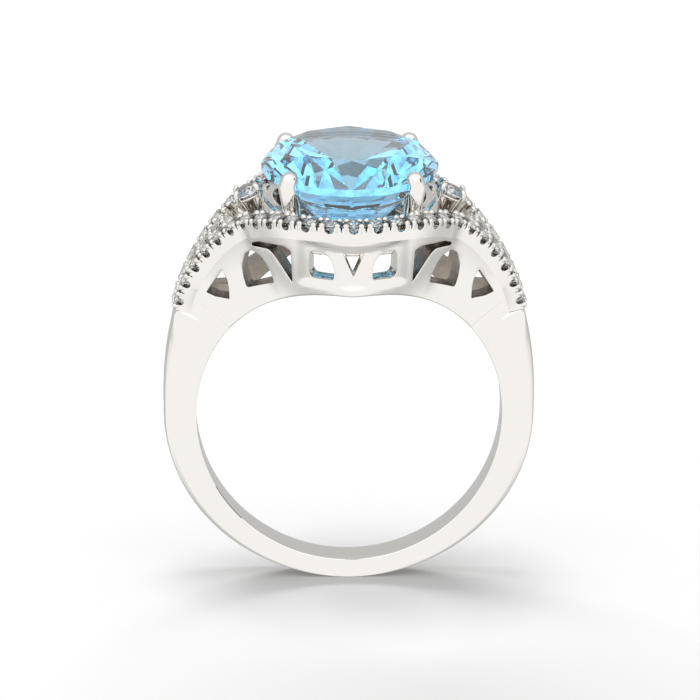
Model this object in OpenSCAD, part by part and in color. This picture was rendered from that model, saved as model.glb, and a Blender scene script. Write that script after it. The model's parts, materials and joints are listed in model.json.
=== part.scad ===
// Cocktail ring: oval centre stone in four claws, two U-cut pave rails over an openwork gallery.
// Millimetres. The finger axis is Y and the stone stands along +Z.
// The origin is the centre of the finger hole.

/* [Hoop] */
// Radius of the finger bore
bore_r = 8.65; // [7.5:0.05:10.5]
// Metal thickness at the bottom of the hoop
base_t = 1.06; // [0.8:0.02:2.5]
// Metal thickness at the sides of the hoop
side_t = 1.85; // [1.2:0.05:3]
// Half width of the hoop at the bottom
base_half_w = 1.2; // [0.9:0.05:2.5]
// Half width of the bore edge under the stone
crown_half_w = 7.82; // [6:0.02:9]
// Angle from the top over which the bore edge narrows
flare_angle = 36.5; // [25:0.5:50]
// Width of the dome strip along the outer edge
dome_t = 0.4; // [0:0.05:0.8]

/* [Pave rails] */
// Outer half width of the rails beside the stone
rail_half_w = 7.8; // [6:0.05:9]
// Height of the rail top above the bore centre
rail_top_z = 12.75; // [11:0.05:15]
// Width of a rail
rail_w = 1.45; // [1:0.05:2]
// Depth of a rail
rail_t = 0.95; // [0.6:0.05:1.6]
// Diamonds in each rail
rail_stones = 25; // [11:2:31]
// Diameter of a rail diamond
pave_d = 1.15; // [0.9:0.05:1.5]
// Radius of a split bead
bead_r = 0.16; // [0.1:0.01:0.25]
// Depth of a U cut below the rail top
u_depth = 0.48; // [0.3:0.02:0.9]
// Width of a U cut
u_width = 0.48; // [0.3:0.02:0.7]
// Filler diamonds on each shoulder
filler_stones = 3; // [1:1:5]

/* [Gallery] */
// Thickness of a gallery wall
wall_t = 1.35; // [0.8:0.05:2]
// Height of the bottom of the centre windows
window_z = 9.6; // [9.2:0.05:10]
// Height of the top of the centre windows
window_top_z = 11.2; // [10.5:0.05:11.5]

/* [Centre stone] */
// Length of the stone, along the finger
stone_l = 12; // [8:0.1:16]
// Width of the stone, across the finger
stone_w = 10; // [6:0.1:14]
// Height of the middle of the girdle
girdle_z = 14.15; // [12:0.05:16]
// Thickness of the girdle
girdle_t = 0.4; // [0.1:0.05:0.8]
// Height of the crown
crown_h = 1.15; // [0.6:0.05:2]
// Depth of the pavilion
pavilion_h = 4.4; // [3:0.05:6]
// Table size as a share of the stone
table_share = 0.66; // [0.5:0.01:0.75]

/* [Claws] */
// Across-finger place of a claw tip
claw_x = 3.58; // [2:0.02:5]
// Along-finger place of a claw tip
claw_y = 4.5; // [3:0.05:6]
// Radius of a claw near its tip
claw_r = 0.56; // [0.3:0.01:0.9]
// Height of the claw tips
claw_top_z = 14.95; // [14:0.05:16]

/* [Accents] */
// Distance of an accent diamond from the middle
accent_x = 5.75; // [5:0.05:8]
// Height of an accent girdle
accent_z = 12.75; // [11:0.05:14]
// Diameter of an accent diamond
accent_d = 1.9; // [1.2:0.05:2.5]
// Outward tilt of an accent head
accent_tilt = 24; // [0:1:45]

/* [Hidden] */
eps = 0.01;
side_r = bore_r + side_t;
base_r = bore_r + base_t;
pave_end = 59.5;       // angle from the top at which the pave stops
shoulder_lift = 1.24;  // how far the pave end stands out from the ellipse of the hoop
split_angle = 52;      // angle from the top at which the solid hoop divides into two walls
rail_steps = 48;       // steps in measuring a rail
bead_share = 0.18;     // distance of a bead from the middle of its wall, as a share of the pitch
plate_start = 0.6;     // where a shoulder plate starts and ends along a rail
plate_end = 0.84;
filler_start = 9.45;   // running length along a rail at the first filler diamond
filler_pitch = 1.2;
filler_max_d = 0.98;    // largest filler diamond: under the spacing on the middle line, so that they stay apart
claw_foot = [3.15, 4.15, 10.7];
claw_foot_r = 0.48;
seat_rail_z = 12;      // the upper oval rail of the head
seat_rail_h = 0.5;
seat_rail_t = 0.6;
base_rail_z = 10.55;   // the lower oval rail of the head, which reaches the two walls
base_rail_h = 0.6;
bridge_z = 11.2;       // the strips between the head and the accents
bridge_h = 1.05;
bridge_half_l = 2.9;
collet_low_z = -1.35;  // an accent collet, measured from its own table
collet_h = 1.1;
star_share = 0.83;     // where the star facets end
lower_share = 0.24;    // where the lower girdle facets end
over_share = 1.021;    // the facets run past the girdle, which then trims them
girdle_low_z = girdle_z - girdle_t / 2;
crown_z = girdle_z + girdle_t / 2;
table_z = crown_z + crown_h;
culet_z = girdle_low_z - pavilion_h;
metal = [0.86, 0.86, 0.87];
metal_dark = [0.72, 0.72, 0.74];
ice = [0.85, 0.93, 0.98];
sky = [0.35, 0.72, 0.92];

// ---- curves of the ring -------------------------------------------------------------------------

function unit(v) = v / norm(v);
function bezier(p, t) =
  pow(1 - t, 3) * p[0] + 3 * t * pow(1 - t, 2) * p[1] + 3 * t * t * (1 - t) * p[2] + pow(t, 3) * p[3];

// half width of the bore edge at an angle from the top
function inner_half_w(a) =
  base_half_w + (crown_half_w - base_half_w) * exp(-pow(abs(a) / flare_angle, 1.5));

// outer radius of the hoop at an angle from the top, below the pave
function hoop_r(a) =
  1 / sqrt(pow(sin(a) / side_r, 2) + pow(cos(a) / base_r, 2))
  + (a < 90 ? shoulder_lift * pow((90 - a) / (90 - pave_end), 1.7) : 0);

// outer top edge of the back right rail, from the middle out to the end of the pave
halo_curve = [
  [0, rail_half_w, rail_top_z], [2.9, rail_half_w, rail_top_z],
  [4.3, rail_half_w - 1.8, rail_top_z + 0.05], [6.15, rail_half_w - 3.8, rail_top_z - 0.85]
];
shoulder_curve = [
  [6.15, rail_half_w - 3.8, rail_top_z - 0.85], [7.35, rail_half_w - 5.1, rail_top_z - 1.45],
  [9.5, 1.5, 8.6], [9.95, 1.22, 6.1]
];
function edge_half(t) = t < 0.5 ? bezier(halo_curve, 2 * t) : bezier(shoulder_curve, 2 * t - 1);
function edge_at(t) = let (p = edge_half(abs(t))) [t < 0 ? -p[0] : p[0], p[1], p[2]];

// local axes of the rail: along it, out of its top, and inwards across it
function edge_along(t) = unit(edge_at(min(t + 0.005, 1)) - edge_at(max(t - 0.005, -1)));
function edge_up(t) = let (d = edge_along(t)) unit([-d[2] * sign(d[0]), 0, abs(d[0])]);
function edge_in(t) = let (v = cross(edge_up(t), edge_along(t))) v[1] > 0 ? -v : v;
// the rails narrow where they meet at the end of the pave
function rail_share(t) = 1 - 0.24 * pow(max(0, (abs(t) - 0.72) / 0.28), 2);
function rail_point(t, across, deep) =
  edge_at(t) + edge_in(t) * across * rail_share(t) - edge_up(t) * deep;
function angle_of(p) = atan2(p[0], p[2]);

// the middle of a rail measured by its length, and the place on the edge at a running length
rail_middle = [for (i = [0:rail_steps]) rail_point(i / rail_steps, rail_w / 2, 0)];
rail_runs = [for (i = 1, s = 0; i <= rail_steps + 1;
                  s = s + (i <= rail_steps ? norm(rail_middle[i] - rail_middle[i - 1]) : 0), i = i + 1) s];
rail_length = rail_runs[rail_steps];
rail_table = [for (i = [0:rail_steps]) [rail_runs[i], i / rail_steps]];
function place(s) = sign(s) * lookup(abs(s), rail_table);

// ---- solids from cross sections -----------------------------------------------------------------

// a closed solid through rings of points, all with the same number of corners
module loft(rings) {
  n = len(rings[0]);
  m = len(rings);
  sides = [for (i = [0:m - 2], j = [0:n - 1])
    let (k = (j + 1) % n)
    each [[i * n + j, i * n + k, (i + 1) * n + k], [i * n + j, (i + 1) * n + k, (i + 1) * n + j]]];
  start = [for (j = [1:n - 2]) [0, j + 1, j]];
  end = [for (j = [1:n - 2]) [(m - 1) * n, (m - 1) * n + j, (m - 1) * n + j + 1]];
  polyhedron(points = [for (r = rings) each r], faces = concat(sides, start, end));
}

module bore() {
  rotate([90, 0, 0])
    cylinder(r = bore_r, h = 4 * crown_half_w, center = true, $fn = 180);
}

// turn +Z towards a direction
module aim(v) {
  rotate([0, acos(v[2] / norm(v)), atan2(v[1], v[0])])
    children();
}

// carry a piece into the rail's own axes at a place on its edge
module on_rail(t, across, deep) {
  p = rail_point(t, across, deep);
  x = edge_along(t);
  z = edge_up(t);
  y = cross(z, x);
  multmatrix([[x[0], y[0], z[0], p[0]], [x[1], y[1], z[1], p[1]], [x[2], y[2], z[2], p[2]], [0, 0, 0, 1]])
    children();
}

module mirrored_front() {
  mirror([0, 1, 0])
    children();
}

module mirrored_left() {
  mirror([1, 0, 0])
    children();
}

// ---- hoop ---------------------------------------------------------------------------------------

// where the underside and the end of a rail cut the top of a shoulder
rail_foot = rail_point(1, 0, rail_t + eps);
rail_split = [
  for (i = [0:100])
    let (p = rail_point(0.8 + i / 500, 0, rail_t))
    if (angle_of(p) > split_angle) p
][0];
function radius_of(p) = norm([p[0], p[2]]);
shoulder_stops = [
  [split_angle, radius_of(rail_split)], [angle_of(rail_foot), radius_of(rail_foot)],
  [pave_end, hoop_r(pave_end)]
];
width_stops = [
  [split_angle, rail_split[1]], [angle_of(rail_foot), rail_foot[1] + 0.02], [pave_end, 1.24],
  [75, 1.18], [100, base_half_w - 0.08], [180, base_half_w - 0.05]
];
function outer_r(a) = a < pave_end ? lookup(a, shoulder_stops) : hoop_r(a);

function hoop_ring(a) =
  let (w = inner_half_w(a), r = outer_r(a), s = min(1, (180 - a) / 120) * min(1, (a - split_angle) / 8),
       d = max(0.05, dome_t * min(1, (180 - a) / 90)), e = lookup(a, width_stops),
       c = e - 0.35 * s, side = [[bore_r - 1, w], [r - d, e + 0.1 * (w - e)], [r, c]])
  [for (q = concat(side, [for (i = [2:-1:0]) [side[i][0], -side[i][1]]]))
    [q[0] * sin(a), q[1], q[0] * cos(a)]];

hoop_stops = concat(
  [split_angle, angle_of(rail_foot), pave_end],
  [for (i = [1:20]) pave_end + (180 - pave_end) * i / 20]);

module shank() {
  half = [for (a = hoop_stops) hoop_ring(a)];
  left = [for (i = [len(half) - 2:-1:0]) [for (p = half[i]) [-p[0], p[1], p[2]]]];
  color(metal)
    difference() {
      loft(concat(half, left));
      bore();
    }
}

// ---- gallery ------------------------------------------------------------------------------------

function wall_ring(t) =
  let (o = rail_point(t, 0, rail_t), a = angle_of(o), w = inner_half_w(a),
       b = [(bore_r - 0.6) * sin(a), w, (bore_r - 0.6) * cos(a)],
       n = edge_in(t), k = min(wall_t, 0.98 * w / max(0.2, abs(n[1]))), flat = unit([n[0], n[1], 0]) * k)
  [o, b, b + flat, rail_point(t, wall_t / rail_share(t), rail_t)];

// a window prism: its outline is as seen from the front on a wall that slopes away by an angle
module window(x, y, turn, slope, outline) {
  translate([x, y, 0])
    rotate([0, 0, -turn])
      rotate([90, 0, 0])
        linear_extrude(7, center = true)
          polygon([for (p = outline) [(p[0] - x) * (cos(turn) + tan(slope) * sin(turn)), p[1]]]);
}

module wall_blank() {
  loft([for (i = [0:36]) wall_ring(-0.96 + 1.92 * i / 36)]);
}

// outlines of the openings on the right half of a wall: width from the middle, and height
window_mid = (window_z + window_top_z) / 2;
arch = [
  [1.1, window_z - 0.1], [1.08, window_mid - 0.3], [1.2, window_mid + 0.2], [1.45, window_top_z - 0.25],
  [1.8, window_top_z - 0.06], [2.3, window_top_z - 0.06], [2.42, window_top_z - 0.3],
  [2.42, window_z + 0.15], [2.27, window_z - 0.14]
];
corner = [
  [5.6, 10.81], [5.2, 11.02], [3.84, 11.14], [3.48, 10.95], [3.36, 8.95], [4, 9.9], [4.45, 10.5],
  [4.7, 10.7], [5.6, 10.62]
];
shield = [
  [5.6, 10.3], [5.1, 10.1], [4.8, 9.7], [4.5, 9.1], [4.36, 8.62], [5.85, 7.95], [6.05, 8.6],
  [6.13, 9.2], [5.97, 10]
];
wedge = [[7.25, 8.73], [8.1, 7.31], [7.6, 7.13], [6.82, 7.08], [6.86, 7.7], [6.95, 8.2]];
vee = [[-0.6, window_top_z - 0.08], [0.6, window_top_z - 0.08], [0, window_z + 0.18]];

module wall_windows() {
  window(1.75, 7.4, 11, 14, arch);
  window(4.2, 5.7, 14, 42, corner);
  window(5.2, 4.3, 14, 44, shield);
  window(7.4, 2.6, 12, 36, wedge);
}

module back_wall_body() {
  difference() {
    wall_blank();
    bore();
    for (s = [0, 1])
      mirror([s, 0, 0])
        wall_windows();
    window(0, 7.8, 0, 0, vee);
  }
}

module back_gallery_wall() {
  color(metal)
    difference() {
      back_wall_body();
      shank_sector();
    }
}

module front_gallery_wall() {
  color(metal)
    mirrored_front()
      difference() {
        back_wall_body();
        shank_sector();
      }
}

// the part of the ring below the split, where the walls become the solid hoop
module shank_sector() {
  rotate([90, 0, 0])
    linear_extrude(30, center = true)
      polygon([[0, 0], [30 * sin(split_angle), 30 * cos(split_angle)], [30, -30], [-30, -30],
               [-30 * sin(split_angle), 30 * cos(split_angle)]]);
}

// ---- pave ---------------------------------------------------------------------------------------

function rail_ring(t) =
  [rail_point(t, 0, 0), rail_point(t, rail_w, 0), rail_point(t, rail_w, rail_t), rail_point(t, 0, rail_t)];

// evenly spaced places of the stones, and of the walls between them
pitch = 2 * rail_length / rail_stones;
stone_places = [for (i = [0:rail_stones - 1]) place((i - (rail_stones - 1) / 2) * pitch)];
bead_places = [
  for (i = [0:rail_stones - 2], s = [-1, 1])
    place((i + 1 - rail_stones / 2 + s * bead_share) * pitch)
];

module u_cut() {
  rotate([90, 0, 0])
    linear_extrude(4, center = true) {
      circle(d = u_width, $fn = 32);
      translate([-u_width / 2, 0])
        square([u_width, 2]);
    }
}

module back_rail_body() {
  difference() {
    loft([for (i = [0:32]) rail_ring(-1 + i / 16)]);
    for (t = stone_places)
      on_rail(t, rail_w / 2, u_depth - u_width / 2)
        u_cut();
  }
}

// a claw grain: short post with a round head
module bead() {
  translate([0, 0, -0.3])
    cylinder(r = bead_r, h = 0.28, $fn = 24);
  translate([0, 0, -0.02])
    sphere(r = bead_r, $fn = 24);
}

// two pairs of beads on each wall between two stones
module back_rail_grains() {
  for (t = bead_places)
    for (q = [0.16, rail_w - 0.16])
      on_rail(t, q, 0)
        bead();
}

// round brilliant with its table at z = 0
module round_brilliant(d) {
  rotate_extrude($fn = 32)
    polygon([[0, 0], [0.28 * d, 0], [0.5 * d, -0.15 * d], [0.5 * d, -0.18 * d], [0, -0.58 * d]]);
}

module back_rail_stones() {
  for (t = stone_places)
    on_rail(t, rail_w / 2, 0)
      translate([0, 0, 0.02])
        round_brilliant(pave_d * rail_share(t) - 2 * eps);
}

module front_pave_rail() {
  color(metal)
    mirrored_front()
      back_rail_body();
}

module back_pave_rail() {
  color(metal)
    back_rail_body();
}

module front_rail_beads() {
  color(metal_dark)
    mirrored_front()
      back_rail_grains();
}

module back_rail_beads() {
  color(metal_dark)
    back_rail_grains();
}

module front_rail_diamonds() {
  color(ice)
    mirrored_front()
      back_rail_stones();
}

module back_rail_diamonds() {
  color(ice)
    back_rail_stones();
}

// ---- shoulders ----------------------------------------------------------------------------------

// the middle line of a shoulder between the rails, at a place on the edge
function mid_point(t, deep) = let (p = rail_point(t, 0, deep)) [p[0], 0, p[2]];
function gap_half(t) = max(0, rail_point(t, rail_w, 0)[1] - eps);

module right_plate_body() {
  loft([for (i = [0:10])
    let (t = plate_start + (plate_end - plate_start) * i / 10, w = max(0.05, gap_half(t)),
         a = mid_point(t, 0.05), b = mid_point(t, rail_t))
    [a + [0, w, 0], a - [0, w, 0], b - [0, w, 0], b + [0, w, 0]]]);
}

// places of the filler diamonds, each smaller than the last as the gap closes
function filler_t(i) = place(filler_start + filler_pitch * i);
function filler_d(i) = min(filler_max_d, 1.7 * gap_half(filler_t(i)) + 0.2);

module on_middle(t, deep) {
  translate(mid_point(t, deep))
    aim(edge_up(t))
      children();
}

module right_shoulder_plate() {
  color(metal)
    difference() {
      right_plate_body();
      for (i = [0:filler_stones - 1])
        on_middle(filler_t(i), u_depth)
          cylinder(r1 = 0.3, r2 = filler_d(i) / 2 + eps, h = u_depth, $fn = 32);
    }
}

module left_shoulder_plate() {
  mirrored_left()
    right_shoulder_plate();
}

module right_shoulder_beads() {
  color(metal_dark)
    for (i = [0:filler_stones])
      for (s = [-1, 1])
        on_middle(filler_t(i - 0.5), 0)
          translate([0, s * min(0.3, 0.75 * gap_half(filler_t(i - 0.5))), 0.2])
            bead();
}

module left_shoulder_beads() {
  mirrored_left()
    right_shoulder_beads();
}

module right_shoulder_diamonds() {
  color(ice)
    for (i = [0:filler_stones - 1])
      on_middle(filler_t(i), 0)
        translate([0, 0, 0.02])
          round_brilliant(filler_d(i) - 2 * eps);
}

module left_shoulder_diamonds() {
  mirrored_left()
    right_shoulder_diamonds();
}

// ---- centre stone and head ----------------------------------------------------------------------

// a point on the stone in polar form: azimuth, share of the half size, and height
function gem_point(az, share, z) = [stone_w / 2 * share * cos(az), stone_l / 2 * share * sin(az), z];
star_z = crown_z + crown_h * (1 - star_share * cos(22.5)) / (1 - table_share);
lower_z = girdle_low_z - pavilion_h * (1 - lower_share * cos(22.5));
over_top_z = crown_z - (star_z - crown_z) * (over_share - 1) / (1 - star_share);
over_low_z = girdle_low_z + (girdle_low_z - lower_z) * (over_share - 1) / (1 - lower_share);

// oval brilliant, its points in rings: table, star ends, above and below the girdle, lower ends, culet
module facets() {
  points = concat(
    [for (k = [0:7]) gem_point(45 * k, table_share, table_z)],
    [for (k = [0:7]) gem_point(45 * k + 22.5, star_share, star_z)],
    [for (k = [0:15]) gem_point(22.5 * k, over_share, over_top_z)],
    [for (k = [0:15]) gem_point(22.5 * k, over_share, over_low_z)],
    [for (k = [0:7]) gem_point(45 * k + 22.5, lower_share, lower_z)],
    [[0, 0, culet_z]]);
  table = [[for (k = [7:-1:0]) k]];
  stars = [for (k = [0:7]) [k, (k + 1) % 8, 8 + k]];
  kites = [for (k = [0:7]) [k, 8 + k, 16 + 2 * k, 8 + (k + 7) % 8]];
  uppers = [for (k = [0:7])
    each [[8 + k, 17 + 2 * k, 16 + 2 * k], [8 + k, 16 + (2 * k + 2) % 16, 17 + 2 * k]]];
  girdle = [for (k = [0:15]) [16 + k, 16 + (k + 1) % 16, 32 + (k + 1) % 16, 32 + k]];
  lowers = [for (k = [0:7])
    each [[48 + k, 32 + 2 * k, 33 + 2 * k], [48 + k, 33 + 2 * k, 32 + (2 * k + 2) % 16]]];
  mains = [for (k = [0:7]) [56, 48 + (k + 7) % 8, 32 + 2 * k, 48 + k]];
  polyhedron(points = points, faces = concat(table, stars, kites, uppers, girdle, lowers, mains));
}

module centre_topaz() {
  color(sky)
    intersection() {
      facets();
      translate([0, 0, culet_z - 1])
        scale([stone_w / 2, stone_l / 2, 1])
          cylinder(r = 1, h = table_z - culet_z + 2, $fn = 96);
    }
}

// a plain oval body that clears the stone, for cutting seats
module stone_clearance() {
  translate([0, 0, crown_z])
    scale([stone_w / 2 + 0.03, stone_l / 2 + 0.03, 1])
      cylinder(r1 = 1, r2 = table_share, h = crown_h + 0.05, $fn = 96);
  translate([0, 0, girdle_low_z - eps])
    scale([stone_w / 2 + 0.03, stone_l / 2 + 0.03, 1])
      cylinder(r = 1, h = girdle_t + 2 * eps, $fn = 96);
  translate([0, 0, culet_z - 0.05])
    scale([stone_w / 2 + 0.03, stone_l / 2 + 0.03, 1])
      cylinder(r1 = 0, r2 = 1, h = pavilion_h + 0.05, $fn = 96);
}

module claw_back_right_body() {
  tip = [claw_x, claw_y, claw_top_z - claw_r];
  run = tip - claw_foot;
  difference() {
    union() {
      translate(claw_foot)
        aim(run)
          cylinder(r1 = claw_foot_r, r2 = claw_r, h = norm(run), $fn = 32);
      translate(tip)
        sphere(r = claw_r, $fn = 32);
      translate(claw_foot)
        sphere(r = claw_foot_r, $fn = 32);
    }
    stone_clearance();
    oval_rail(seat_rail_z, seat_rail_h, seat_rail_t);
    base_rail_body();
  }
}

module claw_back_right() {
  color(metal)
    claw_back_right_body();
}

module claw_back_left() {
  mirrored_left()
    claw_back_right();
}

module claw_front_right() {
  mirrored_front()
    claw_back_right();
}

module claw_front_left() {
  mirrored_front()
    claw_back_left();
}

// half sizes of the oval through the claws at a height
function claw_oval(z) =
  let (q = (z - claw_foot[2]) / (claw_top_z - claw_r - claw_foot[2]),
       x = claw_foot[0] + q * (claw_x - claw_foot[0]), y = claw_foot[1] + q * (claw_y - claw_foot[1]),
       grow = norm([x / stone_w, y / stone_l]))
  [stone_w * grow, stone_l * grow];

// an oval ring of flat wire lying inside the claws' middle line
module oval_rail(z, h, t) {
  half = claw_oval(z + h / 2);
  translate([0, 0, z])
    difference() {
      scale([half[0], half[1], 1])
        cylinder(r = 1, h = h, $fn = 96);
      translate([0, 0, -1])
        scale([half[0] - t, half[1] - t, 1])
          cylinder(r = 1, h = h + 2, $fn = 96);
    }
}

module seat_rail_body() {
  difference() {
    oval_rail(seat_rail_z, seat_rail_h, seat_rail_t);
    stone_clearance();
  }
}

module head_seat_rail() {
  color(metal)
    seat_rail_body();
}

// the base rail reaches out to the two walls
module base_rail_body() {
  half = claw_oval(base_rail_z + base_rail_h / 2);
  translate([0, 0, base_rail_z])
    difference() {
      linear_extrude(base_rail_h)
        polygon([for (a = [0:7.5:359]) [(half[0] + 0.12) * cos(a), (half[1] + 0.84) * sin(a)]]);
      translate([0, 0, -1])
        scale([half[0] - 0.8, half[1] - 0.6, 1])
          cylinder(r = 1, h = 3, $fn = 96);
    }
}

module head_base_rail() {
  color(metal)
    difference() {
      base_rail_body();
      wall_blank();
      mirrored_front()
        wall_blank();
    }
}

// ---- bridges and accents ------------------------------------------------------------------------

module right_bridge() {
  color(metal)
    intersection() {
      translate([0, 0, bridge_z])
        difference() {
          scale([stone_w / 2 + 0.25, stone_l / 2 + 0.1, 1])
            cylinder(r = 1, h = bridge_h, $fn = 96);
          translate([0, 0, -1])
            scale([stone_w / 2 - 0.35, stone_l / 2 - 0.5, 1])
              cylinder(r = 1, h = 4, $fn = 96);
        }
      difference() {
        translate([2, -bridge_half_l, 10])
          cube([6, 2 * bridge_half_l, 4]);
        accent_cup();
      }
    }
}

module left_bridge() {
  mirrored_left()
    right_bridge();
}

// carry a piece to the right accent, table upwards at z = 0
module at_accent() {
  translate([accent_x, 0, accent_z])
    rotate([0, accent_tilt, 0])
      children();
}

// outside of an accent collet
module accent_cup() {
  at_accent()
    translate([0, 0, collet_low_z])
      cylinder(r1 = 0.6, r2 = 0.84, h = collet_h, $fn = 48);
}

module right_accent_head() {
  color(metal)
    difference() {
      accent_cup();
      at_accent()
        translate([0, 0, -1.05])
          cylinder(r1 = 0.1, r2 = 0.86, h = 0.85, $fn = 48);
    }
}

module left_accent_head() {
  mirrored_left()
    right_accent_head();
}

module right_accent_claws() {
  color(metal_dark)
    at_accent()
      for (k = [0:3])
        rotate([0, 0, 45 + 90 * k])
          translate([accent_d / 2 + 0.06, 0, 0]) {
            translate([0, 0, -1.1])
              cylinder(r = 0.17, h = 1.3, $fn = 24);
            translate([0, 0, 0.2])
              sphere(r = 0.17, $fn = 24);
          }
}

module left_accent_claws() {
  mirrored_left()
    right_accent_claws();
}

module right_accent_diamond() {
  color(ice)
    at_accent()
      translate([0, 0, 0.2])
        round_brilliant(accent_d - 0.1);
}

module left_accent_diamond() {
  mirrored_left()
    right_accent_diamond();
}

// ---- what is drawn ------------------------------------------------------------------------------

shank();
front_gallery_wall();
back_gallery_wall();
front_pave_rail();
back_pave_rail();
left_shoulder_plate();
right_shoulder_plate();
front_rail_beads();
back_rail_beads();
left_shoulder_beads();
right_shoulder_beads();
front_rail_diamonds();
back_rail_diamonds();
left_shoulder_diamonds();
right_shoulder_diamonds();
centre_topaz();
head_seat_rail();
head_base_rail();
claw_front_left();
claw_front_right();
claw_back_left();
claw_back_right();
left_bridge();
right_bridge();
left_accent_head();
right_accent_head();
left_accent_claws();
right_accent_claws();
left_accent_diamond();
right_accent_diamond();
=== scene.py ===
"""Cocktail ring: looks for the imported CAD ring, in metres, in the CAD frame.

The finger axis is Y, the stone stands along +Z and the origin is the centre of the finger hole.
Sizes are in millimetres until a mesh is made.
"""
import json
import math

import bmesh
import bpy
import numpy as np
from mathutils import Matrix, Vector
from mathutils.geometry import delaunay_2d_cdt


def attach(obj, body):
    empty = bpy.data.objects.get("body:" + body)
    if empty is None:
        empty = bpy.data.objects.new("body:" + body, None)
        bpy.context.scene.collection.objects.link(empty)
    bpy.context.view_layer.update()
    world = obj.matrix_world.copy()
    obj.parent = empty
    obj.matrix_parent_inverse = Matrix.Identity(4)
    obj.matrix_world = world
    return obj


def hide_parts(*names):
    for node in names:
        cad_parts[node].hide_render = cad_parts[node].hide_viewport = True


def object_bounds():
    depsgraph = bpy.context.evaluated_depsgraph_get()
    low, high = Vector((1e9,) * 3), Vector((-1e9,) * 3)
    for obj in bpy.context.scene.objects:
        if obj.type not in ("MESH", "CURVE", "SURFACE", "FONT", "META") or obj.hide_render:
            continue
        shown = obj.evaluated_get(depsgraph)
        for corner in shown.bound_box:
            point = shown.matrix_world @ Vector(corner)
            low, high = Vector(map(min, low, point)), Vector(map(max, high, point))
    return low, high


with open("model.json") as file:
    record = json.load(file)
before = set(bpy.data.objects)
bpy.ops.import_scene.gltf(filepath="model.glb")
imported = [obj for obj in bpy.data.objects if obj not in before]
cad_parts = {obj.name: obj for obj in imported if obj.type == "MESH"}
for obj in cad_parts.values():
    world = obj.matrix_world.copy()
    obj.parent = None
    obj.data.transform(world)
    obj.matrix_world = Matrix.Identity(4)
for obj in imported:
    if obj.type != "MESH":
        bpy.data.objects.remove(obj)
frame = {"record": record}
cad_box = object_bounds()

MM = 0.001
BORE_R = frame["record"]["mounts"][0]["dims"]["r_mm"]

# ---- driving sizes, the same as the CAD model's --------------------------------------------------
BASE_T, SIDE_T = 1.06, 1.85            # hoop thickness at the bottom and the sides
BASE_HALF_W, CROWN_HALF_W = 1.2, 7.82  # bore edge half width at the bottom and the top
FLARE, DOME_T = 36.5, 0.4
SPLIT, PAVE_END, LIFT = 52.0, 59.5, 1.24
RAIL_HALF_W, RAIL_TOP, RAIL_W, RAIL_T = 7.8, 12.75, 1.45, 0.95
STONES, PAVE_D = 25, 1.15
WALL_T = 1.35
STONE_L, STONE_W, GIRDLE_Z, GIRDLE_T = 12.0, 10.0, 14.15, 0.4
CROWN_H, PAVILION_H, TABLE = 1.15, 4.4, 0.66
CLAW_TIP, CLAW_FOOT = (3.58, 4.5, 14.39), (3.15, 4.15, 10.7)
ACCENT_X, ACCENT_Z, ACCENT_D, ACCENT_TILT = 5.75, 12.75, 1.9, 24.0
PLATE_FROM, PLATE_TO = 8.5, 13.0                   # a shoulder plate's ends, by running length
SEAT_Z, SEAT_H, SEAT_T = 12.0, 0.5, 0.6            # upper oval rail of the head
BASE_RAIL_Z, BASE_RAIL_H, BASE_RAIL_T, BASE_RAIL_OUT = 10.55, 0.6, 0.7, 0.5  # the lower one
BRIDGE_RX, BRIDGE_RY, BRIDGE_SWEEP, BRIDGE_HALF_T = 5.0, 5.8, 32, 0.2
BRIDGE_Z, BRIDGE_TOP, BRIDGE_DIP = 11.2, 12.75, 0.35


# ---- curves of the ring --------------------------------------------------------------------------
def bezier(p, t):
    p = np.asarray(p, float)
    return (1 - t) ** 3 * p[0] + 3 * t * (1 - t) ** 2 * p[1] + 3 * t * t * (1 - t) * p[2] + t ** 3 * p[3]


def unit(v):
    v = np.asarray(v, float)
    return v / np.linalg.norm(v)


def ease(x):
    x = np.clip(x, 0, 1)
    return x * x * (3 - 2 * x)


def inner_half_w(a):
    return BASE_HALF_W + (CROWN_HALF_W - BASE_HALF_W) * math.exp(-((abs(a) / FLARE) ** 1.5))


def hoop_r(a):
    s, c = math.sin(math.radians(a)), math.cos(math.radians(a))
    r = 1 / math.sqrt((s / (BORE_R + SIDE_T)) ** 2 + (c / (BORE_R + BASE_T)) ** 2)
    return r + (LIFT * ((90 - a) / (90 - PAVE_END)) ** 1.7 if a < 90 else 0)


HALO = [(0, RAIL_HALF_W, RAIL_TOP), (2.9, RAIL_HALF_W, RAIL_TOP),
        (4.3, RAIL_HALF_W - 1.8, RAIL_TOP + 0.05), (6.15, RAIL_HALF_W - 3.8, RAIL_TOP - 0.85)]
SHOULDER = [(6.15, RAIL_HALF_W - 3.8, RAIL_TOP - 0.85), (7.35, RAIL_HALF_W - 5.1, RAIL_TOP - 1.45),
            (9.5, 1.5, 8.6), (9.95, 1.22, 6.1)]


def edge(t):
    p = bezier(HALO, 2 * abs(t)) if abs(t) < 0.5 else bezier(SHOULDER, 2 * abs(t) - 1)
    return np.array([math.copysign(p[0], t), p[1], p[2]])


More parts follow.
